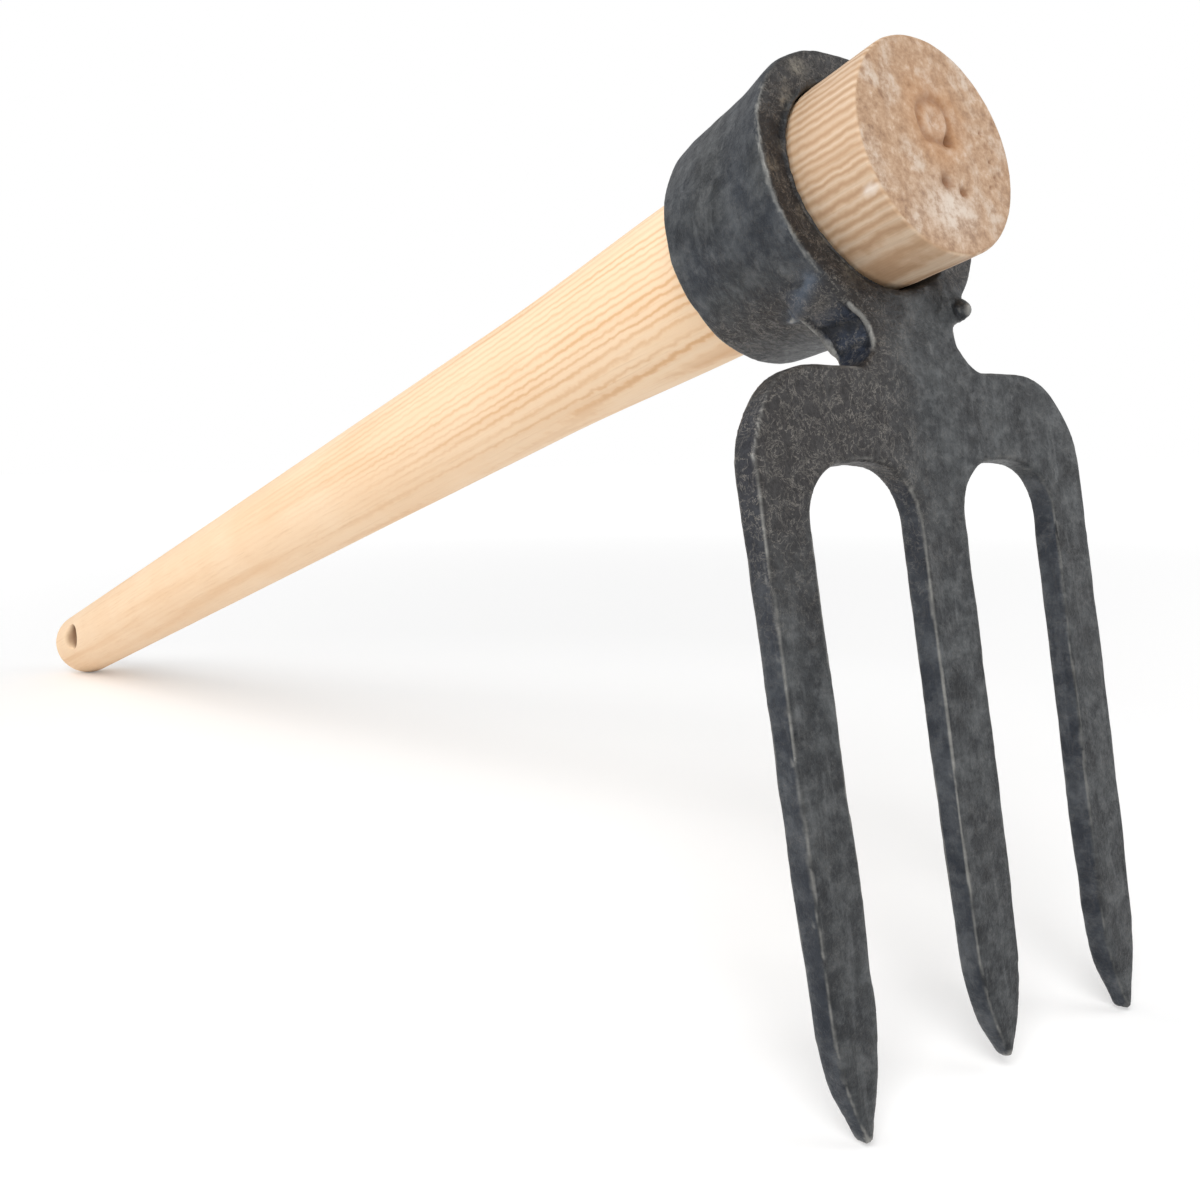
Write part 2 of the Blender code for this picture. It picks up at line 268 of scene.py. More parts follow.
def buildHandle():
    butt = handle["length"] - handleStub
    edge = handle["headEdge"]
    rounding = handle["buttRounding"]
    faceShare = np.linspace(0.04, 1.0, 34)
    quarter = np.linspace(0.0, np.pi / 2, 7)[1:]
    along = np.concatenate([
        np.linspace(-handleStub + edge, 0.0, 14)[1:],
        np.linspace(0.0, 0.16, 70)[1:],
        np.linspace(0.16, butt - rounding, 170)[1:],
    ])
    roundTurn = np.linspace(0.0, np.pi / 2, 16)[1:-1]
    stations = np.concatenate([
        np.full(len(faceShare), -handleStub),
        -handleStub + edge * (1.0 - np.cos(quarter)),
        along,
        butt - rounding + rounding * np.sin(roundTurn),
    ])
    width, height = handleHalfSizes(stations)
    inset = np.concatenate([
        np.full(len(faceShare), edge),
        edge * (1.0 - np.sin(quarter)),
        np.zeros(len(along)),
        rounding * (1.0 - np.cos(roundTurn)),
    ])
    share = np.concatenate([faceShare, np.ones(len(stations) - len(faceShare))])
    turn = np.linspace(0.0, 2 * np.pi, handle["turns"], endpoint=False)
    # ring = ((half width - inset) cos, y, (half height - inset) sin), drawn in towards the face's centre
    x = np.outer((width - inset) * share, np.cos(turn))
    z = np.outer((height - inset) * share, np.sin(turn))
    y = np.repeat(stations[:, None], len(turn), axis=1)
    rings = np.stack([x, y, z], axis=-1)
    mesh = gridMesh("ashHandle", rings, [0.0, -handleStub, 0.0], [0.0, butt, 0.0])
    obj = addObject("ashHandle", outward(mesh))

    side = float(handleHalfSizes(np.array([butt - handle["holeInset"]]))[0][0])
    sink = handle["holeSink"] - handle["holeRadius"]
    steps = np.array([side + 0.004, side, side - sink * 0.45, side - sink * 1.1, side - sink * 2.0])
    radii = np.array([handle["holeSink"] + 0.004, handle["holeSink"], handle["holeRadius"] + sink * 0.42,
                      handle["holeRadius"] + sink * 0.08, handle["holeRadius"]])
    place = np.concatenate([-steps, steps[::-1]])
    radius = np.concatenate([radii, radii[::-1]])
    stretch = 1.0 + (handle["holeStretch"] - 1.0) * np.clip((radius - handle["holeRadius"]) / sink, 0.0, 1.0)
    turn = np.linspace(0.0, 2 * np.pi, 56, endpoint=False)
    bore = np.stack([
        np.repeat(place[:, None], len(turn), axis=1),
        butt - handle["holeInset"] + np.outer(radius * stretch, np.cos(turn)),
        np.outer(radius, np.sin(turn)),
    ], axis=-1)
    centre = butt - handle["holeInset"]
    cutter = addObject("hangingHole", outward(gridMesh("hangingHole", bore, [place[0], centre, 0.0],
                                                       [place[-1], centre, 0.0])))
    cut = obj.modifiers.new("hangingHole", "BOOLEAN")
    cut.object = cutter
    cut.operation = "DIFFERENCE"
    cut.solver = "EXACT"
    mesh = applied(obj)
    bpy.data.objects.remove(cutter, do_unlink=True)
    return mesh


endMarks = {
    "centre": (0.0007, 0.0063),  # where the lathe's cup centre pressed in, across and up
    "cupRadius": 0.0058,
    "pits": [(0.0055, 0.0018, 0.0015), (0.0012, -0.0090, 0.0017), (0.0069, -0.0112, 0.0013), (0.0190, 0.0060, 0.0006),
             (0.0205, -0.0015, 0.0006), (0.0200, 0.0025, 0.0005), (0.0215, -0.0055, 0.0006), (0.0185, -0.0085, 0.0005)],
    "splinter": (-0.0254, -0.0176, -0.0134),
}


def finishHandle(mesh):
    tool = vertexPlaces(mesh)
    normals = vertexNormals(mesh)
    onEnd = smoothStep(0.6, 0.95, -normals[:, 1]) * (tool[:, 1] < -handleStub + 0.002)
    x, z = tool[:, 0], tool[:, 2]
    cupX, cupZ = endMarks["centre"]
    fromCup = np.hypot(x - cupX, z - cupZ)
    # depth = a ring groove, a centre dimple and a few pits, each a bell curve of the distance to it
    ragged = fromCup + 0.0012 * latticeNoise(tool, 0.004, 6)
    depth = 0.0007 * np.exp(-((ragged - endMarks["cupRadius"]) / 0.0012) ** 2)
    depth += 0.0010 * np.exp(-(fromCup / 0.0018) ** 2)
    # the cup's ring groove and the pits are also darkened in colour: painted shade in these recesses
    recessShade = 0.70 * np.exp(-((ragged - endMarks["cupRadius"]) / 0.0013) ** 2)
    warm = np.exp(-((ragged - 0.004) / 0.0075) ** 2)
    for px, pz, size in endMarks["pits"]:
        bell = np.exp(-(((x - px) ** 2 + (z - pz) ** 2) / size**2))
        depth += 1.1 * size * bell
        recessShade += 1.3 * bell
    rough = latticeNoise(tool, 0.0011, 3) * 0.00007 + latticeNoise(tool, 0.0045, 4) * 0.00018
    sunk = onEnd * (depth + 0.00012 + rough)
    # raised grain: long narrow ridges, a millimetre or so across and 30 times as long
    fibre = latticeNoise(tool, (0.0013, 0.040, 0.0013), 5)
    ridge = (1.0 - onEnd) * (0.00004 + 0.00004 * fibre)
    tool = tool - normals * (sunk + ridge)[:, None]
    sx, sy, sz = endMarks["splinter"]
    fleck = np.exp(-(((x - sx) / 0.0020) ** 2 + ((tool[:, 1] - sy) / 0.0024) ** 2 + ((z - sz) / 0.0010) ** 2) ** 3)
    storeValue(mesh, "grainPlace", tool)
    storeValue(mesh, "endFace", onEnd)
    storeValue(mesh, "endPaintedShade", np.minimum(recessShade, 1.0) * onEnd)
    storeValue(mesh, "endWarm", warm * onEnd)
    chalk = np.exp(-(((x + 0.001) / 0.0090) ** 2 + ((z + 0.0168) / 0.0065) ** 2)) + 0.6 * np.exp(-((ragged / 0.0040) ** 2))
    storeValue(mesh, "endChalk", np.minimum(chalk, 1.0) * onEnd)
    storeValue(mesh, "fleck", fleck * (1.0 - onEnd))
    # inside the hanging hole the wood is darkened: painted shade in the bore
    butt = handle["length"] - handleStub
    fromHole = np.hypot((tool[:, 1] - butt + handle["holeInset"]) / handle["holeStretch"], z)
    within = smoothStep(handle["buttRadius"] - 0.0002, handle["buttRadius"] - 0.0026, np.hypot(x, z))
    storeValue(mesh, "holePaintedShade", within * (fromHole < handle["holeSink"]))
    placeVertices(mesh, insideCad(toWorld(tool)))
    mesh.shade_smooth()
    return mesh


def ashMaterial():
    # Ash, turned and sanded, bare. Ring-porous wood: each growth ring starts with a darker, open band.
    mat, tree, shader = newMaterial("bareAsh")
    place = attributeOf(tree, "grainPlace", "Vector")
    parts = addNode(tree, "ShaderNodeSeparateXYZ", {0: place}).outputs
    # rings about a pith that lies 24 cm under the handle's axis and runs at a slight angle to it
    turned = addNode(tree, "ShaderNodeMapping", {"Vector": place, "Location": (0.03, 0.0, 0.24),
                     "Rotation": (0.12, 0.0, 0.03), "Scale": (1.0, 0.05, 1.0)}).outputs[0]
    waver = addNode(tree, "ShaderNodeTexNoise", {"Vector": place, "Scale": 1.0 / 0.0045, "Detail": 3.0}).outputs["Color"]
    turned = addNode(tree, "ShaderNodeVectorMath", {0: waver, 1: (0.0016, 0.0, 0.0016), 2: turned},
                     operation="MULTIPLY_ADD").outputs[0]
    ringScale = 0.314 / 0.0023  # one ring each 2.3 mm
    ring = addNode(tree, "ShaderNodeTexWave", {"Vector": turned, "Scale": ringScale, "Distortion": 9.0,
                   "Detail": 2.0, "Detail Scale": 0.45, "Detail Roughness": 0.55},
                   wave_type="RINGS", rings_direction="Y", wave_profile="SIN").outputs["Fac"]
    stretched = addNode(tree, "ShaderNodeMapping", {"Vector": place, "Scale": (1.0, 0.035, 1.0)}).outputs[0]
    fibre = addNode(tree, "ShaderNodeTexNoise", {"Vector": stretched, "Scale": 1.0 / 0.0009, "Detail": 3.0,
                    "Roughness": 0.6}).outputs["Fac"]
    streak = addNode(tree, "ShaderNodeTexNoise", {"Vector": stretched, "Scale": 1.0 / 0.0075, "Detail": 2.0}).outputs["Fac"]
    blotch = addNode(tree, "ShaderNodeTexNoise", {"Vector": place, "Scale": 1.0 / 0.045, "Detail": 2.0}).outputs["Fac"]
    ringTone = rampOf(tree, ring, [(0.0, "#d9a877"), (0.18, "#e6bb8e"), (0.42, "#f2d1ac"), (1.0, "#f7dcbc")])
    plain = rampOf(tree, blotch, [(0.3, "#f2d0aa"), (0.7, "#f6d8b5")])
    # the bands stand out most near the eye and are fainter down the shaft
    nearEye = spread(tree, parts["Y"], 0.04, 0.36, 0.85, 0.10)
    nearEye = times(tree, nearEye, spread(tree, streak, 0.36, 0.62, 0.25, 1.0))
    tone = mixOf(tree, nearEye, plain, ringTone)
    tone = mixOf(tree, spread(tree, streak, 0.52, 0.75, 0.0, 0.35), tone, linearColour("#dfae7b"))
    tone = mixOf(tree, spread(tree, fibre, 0.55, 0.8, 0.0, 0.28), tone, linearColour("#c99a6c"))
    # the stub in front of the eye is handled and a little dirty
    stubTone = rampOf(tree, ring, [(0.0, "#a78364"), (0.30, "#b99779"), (0.70, "#cbae92"), (1.0, "#d6c0a8")])
    stubTone = mixOf(tree, spread(tree, fibre, 0.45, 0.75, 0.0, 0.35), stubTone, linearColour("#937558"))
    stubTone = mixOf(tree, spread(tree, streak, 0.38, 0.64, 0.10, 0.60), stubTone, linearColour("#c2a386"))
    tone = mixOf(tree, spread(tree, parts["Y"], 0.006, -0.002, 0.0, 0.85), tone, stubTone)

    # end grain: tan, chalky in patches, with open pores
    mottle = addNode(tree, "ShaderNodeTexNoise", {"Vector": place, "Scale": 1.0 / 0.0024, "Detail": 4.0,
                     "Roughness": 0.65}).outputs["Fac"]
    chalk = addNode(tree, "ShaderNodeTexNoise", {"Vector": place, "Scale": 1.0 / 0.010, "Detail": 3.0}).outputs["Fac"]
    pore = addNode(tree, "ShaderNodeTexVoronoi", {"Vector": place, "Scale": 1.0 / 0.0013}).outputs["Distance"]
    endTone = rampOf(tree, mottle, [(0.28, "#8b6a50"), (0.46, "#ab896b"), (0.60, "#bc9d81"), (0.76, "#d2bca8")])
    endTone = mixOf(tree, times(tree, spread(tree, chalk, 0.50, 0.66), spread(tree, mottle, 0.40, 0.62, 0.15, 0.7)),
                    endTone, linearColour("#cfc0b1"))
    endTone = mixOf(tree, spread(tree, pore, 0.20, 0.05, 0.0, 0.38), endTone, linearColour("#8d6444"))
    endTone = mixOf(tree, times(tree, attributeOf(tree, "endWarm"), 0.50), endTone, linearColour("#b8824f"))
    endTone = mixOf(tree, times(tree, attributeOf(tree, "endChalk"), spread(tree, mottle, 0.38, 0.58, 0.30, 0.95)), endTone,
                    linearColour("#d6c8ba"))
    # painted shade in the end face's ring groove and pits
    endTone = mixOf(tree, times(tree, attributeOf(tree, "endPaintedShade"), 0.80), endTone, linearColour("#7f5433"))
    tone = mixOf(tree, attributeOf(tree, "endFace"), tone, endTone)
    tone = mixOf(tree, attributeOf(tree, "fleck"), tone, linearColour("#e6d7c9"))
    # painted shade inside the hanging hole
    tone = mixOf(tree, times(tree, attributeOf(tree, "holePaintedShade"), 0.9), tone, linearColour("#7d5a3d"))
    tree.links.new(tone, shader.inputs["Base Color"])
    tree.links.new(spread(tree, fibre, 0.3, 0.8, 0.50, 0.66), shader.inputs["Roughness"])
    shader.inputs["IOR"].default_value = 1.45
    shader.inputs["Specular IOR Level"].default_value = 0.35
    height = mixOf(tree, attributeOf(tree, "endFace"), fibre, mottle)
    bump = addNode(tree, "ShaderNodeBump", {"Height": height, "Strength": 0.35, "Distance": 0.0003})
    tree.links.new(bump.outputs["Normal"], shader.inputs["Normal"])
    return mat


# Forged head: three tines, web, neck and collar in one forging
head = {
    "rake": math.radians(5.0),
    "ahead": 0.0086,  # the fork's front plane meets the handle's axis this far before the eye
    "reach": 0.2234,  # from the handle's axis to the outer points, along the fork
    "collarDepth": 0.0455,
    "voxel": 0.00075,
}


def toFork(tool):
    # across the fork, height up it from the outer points, depth behind its front face
    back = tool[:, 1] + head["ahead"]
    sine, cosine = math.sin(head["rake"]), math.cos(head["rake"])
    height = head["reach"] - back * sine + tool[:, 2] * cosine
    depth = back * cosine + tool[:, 2] * sine
    return np.stack([tool[:, 0], height, depth], axis=1)


def fromFork(fork):
    up = fork[:, 1] - head["reach"]
    sine, cosine = math.sin(head["rake"]), math.cos(head["rake"])
    back = -up * sine + fork[:, 2] * cosine - head["ahead"]
    return np.stack([fork[:, 0], back, up * cosine + fork[:, 2] * sine], axis=1)


def lump(name, start, end, radii):
    # an ellipsoid with its long axis from start to end, in the tool's frame
    start, end = np.array(start), np.array(end)
    turn = np.linspace(0.0, 2 * np.pi, 32, endpoint=False)
    fall = np.linspace(0.0, np.pi, 20)[1:-1]
    along = (end - start) / np.linalg.norm(end - start)
    side = np.cross(along, [0.0, 0.0, 1.0])
    side /= np.linalg.norm(side)
    over = np.cross(along, side)
    middle = (start + end) / 2
    half = np.linalg.norm(end - start) / 2
    ring = np.cos(turn)[:, None] * side * radii[0] + np.sin(turn)[:, None] * over * radii[1]
    rings = middle + np.sin(fall)[:, None, None] * ring[None] + np.cos(fall)[:, None, None] * (along * half)
    return gridMesh(name, rings, middle + along * half, middle - along * half)


def buildHead():
    source = frame["nodes"]["forged_head"].data.copy()
    bm = bmesh.new()
    bm.from_mesh(source)
    extras = [
        # the hammered bar where the gusset leaves the collar, on both sides
        lump("gussetBar", (-0.0272, 0.0004, -0.0266), (-0.0180, 0.0204, -0.0308), (0.0030, 0.0026)),
        lump("gussetBar", (0.0272, 0.0004, -0.0266), (0.0180, 0.0204, -0.0308), (0.0030, 0.0026)),
        # a burr of flash left on the neck
        lump("burr", (0.0196, -0.0066, -0.0346), (0.0210, 0.0000, -0.0330), (0.0024, 0.0024)),
    ]
    for extra in extras:
        placeVertices(extra, toWorld(vertexPlaces(extra)))
        bm.from_mesh(extra)
    bmesh.ops.remove_doubles(bm, verts=bm.verts, dist=0.00001)
    mesh = bpy.data.meshes.new("forgedHead")
    bm.to_mesh(mesh)
    bm.free()
    # remeshed in the fork's own frame, so that its flats stay flat
    placeVertices(mesh, toFork(toTool(vertexPlaces(mesh))))
    obj = addObject("forgedHead", mesh)
    fuse = obj.modifiers.new("fuse", "REMESH")
    fuse.mode = "VOXEL"
    fuse.voxel_size = head["voxel"]
    ease = obj.modifiers.new("ease", "SMOOTH")
    ease.factor = 0.5
    ease.iterations = 3
    mesh = applied(obj)
    fork = vertexPlaces(mesh)
    # where the neck's front runs up into the eye's face there is no crease
    blendMask = np.exp(-((fork[:, 1] - 0.1925) / 0.0055) ** 2) * smoothStep(0.0125, 0.0085, fork[:, 2])
    blendMask *= smoothStep(0.030, 0.024, np.abs(fork[:, 0]))
    fork = relaxed(mesh, fork, blendMask, 45)
    # the points are ground round, their outline without corners
    pointMask = smoothStep(0.052, 0.034, fork[:, 1]) * smoothStep(0.001, 0.006, fork[:, 1])
    fork = relaxed(mesh, fork, 0.8 * pointMask, 16)
    placeVertices(mesh, fromFork(fork))
    return outward(mesh)


def edgeEnds(mesh):
    flat = np.empty(len(mesh.edges) * 2, np.int64)
    mesh.edges.foreach_get("vertices", flat)
    return flat.reshape(-1, 2).T


def relaxed(mesh, points, mask, rounds):
    # each round moves a vertex towards the mean of its neighbours, as far as its mask says
    first, second = edgeEnds(mesh)
    count = np.bincount(first, minlength=len(points)) + np.bincount(second, minlength=len(points))
    for _ in range(rounds):
        near = np.stack([np.bincount(first, points[second, i], minlength=len(points))
                         + np.bincount(second, points[first, i], minlength=len(points)) for i in range(3)], axis=1)
        points = points + 0.6 * mask[:, None] * (near / count[:, None] - points)
    return points


def fromSegment(points, start, end):
    # distance of each point to the straight piece from start to end, mirrored across the fork
    start, end = np.array(start), np.array(end)
    points = points * np.sign(points[:, :1] * start[0]) ** [1, 0, 0]
    share = np.clip((points - start) @ (end - start) / ((end - start) ** 2).sum(), 0.0, 1.0)
    return np.linalg.norm(points - start - share[:, None] * (end - start), axis=1)


def edgeWear(mesh, points, normals):
    # convexity: how far each vertex stands out of its neighbours along its normal, over their distance
    first, second = edgeEnds(mesh)
    gap = points[first] - points[second]
    square = (gap**2).sum(axis=1)
    count = np.bincount(first, minlength=len(points)) + np.bincount(second, minlength=len(points))
    bend = np.bincount(first, (gap * normals[first]).sum(axis=1) / square, minlength=len(points))
    bend += np.bincount(second, -(gap * normals[second]).sum(axis=1) / square, minlength=len(points))
    bend /= count
    for _ in range(2):
        near = np.bincount(first, bend[second], minlength=len(points))
        near += np.bincount(second, bend[first], minlength=len(points))
        bend = 0.5 * bend + 0.5 * near / count
    return bend


def finishHead(mesh):
    tool = vertexPlaces(mesh)
    normals = vertexNormals(mesh)
    fork = toFork(tool)
    bend = edgeWear(mesh, tool, normals)
    wear = smoothStep(np.percentile(bend, 91.0), np.percentile(bend, 97.5), bend)
    across, height, depth = fork.T
    eyeShare = np.clip(tool[:, 1] / head["collarDepth"], 0.0, 1.0)
    boreWidth = handle["eyeHalfWidth"] + (handle["waistRadius"] - handle["eyeHalfWidth"]) * eyeShare
    boreHeight = handle["eyeHalfHeight"] + (handle["waistRadius"] - handle["eyeHalfHeight"]) * eyeShare
    fromAxis = np.hypot(tool[:, 0] / boreWidth, tool[:, 2] / boreHeight)
    onCollar = smoothStep(0.192, 0.200, height)
    inBore = (fromAxis < 1.06) & (tool[:, 1] > -0.003) & (height > 0.18)
    ringFace = onCollar * smoothStep(0.55, 0.9, -normals[:, 1]) * (tool[:, 1] < 0.012)
    onSide = smoothStep(0.55, 0.9, np.abs(normals[:, 0])) * (1.0 - onCollar)
    outside = 1.0 - inBore

    # hammer work: broad soft dents, smaller ones on them, and a finer tooth; the collar is rougher
    dents = 0.5 + 0.5 * latticeNoise(tool, 0.016, 11)
    small = 0.5 + 0.5 * latticeNoise(tool, 0.0062, 12)
    tooth = 0.5 + 0.5 * latticeNoise(tool, 0.0022, 13)
    plane = np.abs(latticeNoise(tool, (0.011, 0.030, 0.011), 14))
    sunk = 0.00020 * dents + 0.00024 * small + 0.00012 * tooth - 0.00014
    sunk += onCollar * (0.00040 * dents + 0.00040 * plane + 0.00016 * small)
    # the collar is drawn in a little behind its front lip, most at the top
    waist = np.exp(-((tool[:, 1] - 0.017) / 0.010) ** 2) * (0.35 + 0.65 * smoothStep(-0.02, 0.02, tool[:, 2]))
    sunk += 0.0010 * waist * onCollar * (1.0 - ringFace)
    sunk -= 0.0010 * onCollar * smoothStep(0.012, 0.032, tool[:, 2])
    # the neck's sides are hollow behind their front edges
    besideNeck = smoothStep(0.3, 0.8, np.abs(normals[:, 0])) * smoothStep(0.0010, 0.0034, depth)
    sunk += 0.0022 * besideNeck * np.exp(-((height - 0.1835) / 0.0065) ** 2)
    # and the right one is a little fuller at the front
    sunk -= 0.0015 * smoothStep(0.010, 0.016, across) * np.exp(-((height - 0.1905) / 0.0065) ** 2) * smoothStep(0.0075, 0.0040, depth)
    # sheared side faces carry fine marks square to the plate
    sunk += onSide * 0.00022 * (0.5 + 0.5 * latticeNoise(fork, (0.02, 0.0017, 0.0070), 15))
    # worn edges are rounder in places
    sunk += wear * 0.00022 * (0.5 + 0.5 * latticeNoise(tool, 0.009, 16))
    tool = tool - normals * (sunk * outside)[:, None]
    # the shoulders' tops stand a little higher than the plate's plain outline
    fork = toFork(tool)
    fork[:, 1] += 0.0010 * smoothStep(0.160, 0.170, height) * (1.0 - smoothStep(0.176, 0.180, height))
    # the points thin out towards their tips
    thin = smoothStep(0.014, 0.0, height)
    fork[:, 2] -= (0.0022 * thin) * smoothStep(0.001, 0.006, depth)
    tool = fromFork(fork)

    # the mouth of the eye is opened a little, so the wood stands clear of it
    mouth = smoothStep(0.0045, -0.002, tool[:, 1]) * smoothStep(1.10, 1.0, fromAxis) * (height > 0.18)
    radial = np.stack([tool[:, 0], np.zeros(len(tool)), tool[:, 2]], axis=1)
    radial /= np.maximum(np.linalg.norm(radial, axis=1), 1e-6)[:, None]
    tool = tool + radial * (0.0010 * mouth)[:, None]

    # the rubbed edges are read off the finished shape
    placeVertices(mesh, tool)
    normals = vertexNormals(mesh)
    bend = edgeWear(mesh, tool, normals)
    wear = smoothStep(np.percentile(bend, 90.5), np.percentile(bend, 98.0), bend)
    wear *= 1.0 - 0.55 * smoothStep(0.020, 0.040, across) * (1.0 - onCollar) - 0.30 * onCollar
    # the most hollow creases are darkened to near black: painted shade
    creaseShade = smoothStep(np.percentile(bend, 3.0), np.percentile(bend, 0.6), bend)

    leftShoulder = smoothStep(0.002, -0.022, across) * smoothStep(0.100, 0.150, height) * (1.0 - onCollar)
    patch = 0.5 + 0.5 * latticeNoise(tool, 0.012, 17)
    brown = np.clip(0.85 * ringFace + leftShoulder * 0.9 + 0.20 * patch * (1.0 - onCollar), 0.0, 1.0)
    neckSide = smoothStep(0.171, 0.175, height) * (1.0 - smoothStep(0.186, 0.190, height)) * besideNeck
    # along the gusset bar a lighter blue-grey is painted on: a painted highlight for the light the bar catches
    bar = np.exp(-(fromSegment(tool, (-0.0280, 0.0030, -0.0270), (-0.0190, 0.0190, -0.0310)) / 0.0020) ** 2)
    facet = np.exp(-(fromSegment(tool, (-0.0225, 0.0045, -0.0310), (-0.0150, 0.0180, -0.0335)) / 0.0032) ** 2)
    pale = np.exp(-(((tool[:, 0] + 0.0185) / 0.0030) ** 2 + ((tool[:, 2] - 0.0285) / 0.0026) ** 2)) * ringFace
    pale += 0.8 * ringFace * smoothStep(0.15, 0.6, latticeNoise(tool, 0.006, 18)) * smoothStep(0.01, -0.02, tool[:, 0])
    pale += 0.35 * facet
    # the share of the bar in the blue is part of its painted highlight
    blue = neckSide + 0.3 * bar + 0.35 * onSide + 0.6 * onCollar * (patch - 0.25) * (1.0 - ringFace)
    blue = np.clip(blue, 0.0, 1.0)
    storeValue(mesh, "wear", wear * outside)
    storeValue(mesh, "creaseShade", creaseShade)
    storeValue(mesh, "brownScale", brown * outside)
    storeValue(mesh, "barPaintedHighlight", bar * outside)
    storeValue(mesh, "paleScale", np.minimum(pale, 1.0) * outside)
    storeValue(mesh, "blueScale", blue * outside)
    storeValue(mesh, "forgePlace", toFork(tool))
    placeVertices(mesh, insideCad(toWorld(tool)))
    mesh.shade_smooth()
    return mesh


def forgedMaterial():
    # Carbon steel as it leaves the hammer: grey-black mill scale, brown and blue where it cooled
    # differently, rubbed bright along the edges, with a dull gloss.
    mat, tree, shader = newMaterial("forgedSteelScale")
    place = attributeOf(tree, "forgePlace", "Vector")
    cloud = addNode(tree, "ShaderNodeTexNoise", {"Vector": place, "Scale": 1.0 / 0.011, "Detail": 5.0,
                    "Roughness": 0.6}).outputs["Fac"]
    grit = addNode(tree, "ShaderNodeTexNoise", {"Vector": place, "Scale": 1.0 / 0.0014, "Detail": 4.0,
                   "Roughness": 0.7}).outputs["Fac"]
    # scale that crazed and flaked leaves a net of pale threads: the lines where a noise crosses its middle
    net = addNode(tree, "ShaderNodeTexNoise", {"Vector": place, "Scale": 1.0 / 0.0042, "Detail": 5.0,
                  "Roughness": 0.72, "Distortion": 0.6}).outputs["Fac"]
    fromMiddle = addNode(tree, "ShaderNodeMath", {0: net, 1: 0.5}, operation="SUBTRACT").outputs[0]
    fromMiddle = addNode(tree, "ShaderNodeMath", {0: fromMiddle}, operation="ABSOLUTE").outputs[0]
    thread = spread(tree, fromMiddle, 0.020, 0.002)
    # broad hammered skin, a few millimetres across
    skin = addNode(tree, "ShaderNodeTexNoise", {"Vector": place, "Scale": 1.0 / 0.0048, "Detail": 5.0,
                   "Roughness": 0.62}).outputs["Fac"]
    slanted = addNode(tree, "ShaderNodeMapping", {"Vector": place, "Rotation": (0.5, 0.4, 0.7),
                      "Scale": (1.0, 0.16, 1.0)}).outputs[0]
    drag = addNode(tree, "ShaderNodeTexNoise", {"Vector": slanted, "Scale": 1.0 / 0.0035, "Detail": 4.0,
                   "Roughness": 0.65}).outputs["Fac"]
    brown = attributeOf(tree, "brownScale")
    tone = rampOf(tree, cloud, [(0.34, "#1f2225"), (0.46, "#303336"), (0.56, "#3e4143"), (0.68, "#525557")])
    tone = mixOf(tree, spread(tree, skin, 0.48, 0.68, 0.0, 0.50), tone, linearColour("#666869"))
    tone = mixOf(tree, spread(tree, skin, 0.50, 0.32, 0.0, 0.50), tone, linearColour("#1f2123"))
    tone = mixOf(tree, spread(tree, drag, 0.56, 0.70, 0.0, 0.40), tone, linearColour("#6e7071"))
    tone = mixOf(tree, times(tree, brown, 0.80), tone, linearColour("#2d2928"))
    tone = mixOf(tree, times(tree, attributeOf(tree, "blueScale"), 0.70), tone, linearColour("#283345"))
    tone = mixOf(tree, times(tree, spread(tree, grit, 0.52, 0.36), spread(tree, brown, 0.0, 1.0, 0.15, 0.40)),
                 tone, linearColour("#171718"))
    flaked = times(tree, times(tree, thread, spread(tree, brown, 0.1, 0.9, 0.12, 0.75)), spread(tree, skin, 0.35, 0.58, 0.35, 1.0))
    tone = mixOf(tree, flaked, tone, linearColour("#858079"))
    tone = mixOf(tree, times(tree, attributeOf(tree, "paleScale"), spread(tree, grit, 0.40, 0.60, 0.15, 0.80)),
                 tone, linearColour("#8b8579"))
    # painted highlight along the gusset bar
    tone = mixOf(tree, times(tree, attributeOf(tree, "barPaintedHighlight"), 0.55), tone, linearColour("#606b79"))
    # painted shade in the creases
    tone = mixOf(tree, times(tree, attributeOf(tree, "creaseShade"), 0.7), tone, linearColour("#141517"))
    rubbed = times(tree, attributeOf(tree, "wear"), spread(tree, skin, 0.34, 0.60, 0.40, 0.90))
    tone = mixOf(tree, rubbed, tone, linearColour("#8f8e8a"))
    tree.links.new(tone, shader.inputs["Base Color"])
    shader.inputs["Metallic"].default_value = 0.55
    rough = spread(tree, grit, 0.3, 0.7, 0.58, 0.36)
    tree.links.new(rough, shader.inputs["Roughness"])
    grain = mixOf(tree, 0.65, grit, skin)
    bump = addNode(tree, "ShaderNodeBump", {"Height": grain, "Strength": 0.85, "Distance": 0.0012})
    tree.links.new(bump.outputs["Normal"], shader.inputs["Normal"])
    return mat


print("making the ash handle")
ashHandle = addObject("ashHandle", finishHandle(buildHandle()))
ashHandle.data.materials.clear()
ashHandle.data.materials.append(ashMaterial())
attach(ashHandle, "root")
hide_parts("ash_handle")

print("making the forged head")
forgedHead = addObject("forgedHead", finishHead(buildHead()))
forgedHead.data.materials.clear()
forgedHead.data.materials.append(forgedMaterial())
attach(forgedHead, "root")
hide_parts("forged_head")
for piece in (ashHandle, forgedHead):
    print(piece.name, len(piece.data.vertices), "vertices", len(piece.data.polygons), "faces")


# Floor, light and camera.
stage = {
    "floorHalf": 30.0,
    "floorColour": "#f3f3f3",
    "nearGlow": 0.13,
    "farGlow": 0.54,
    "worldStrength": 0.54,
}


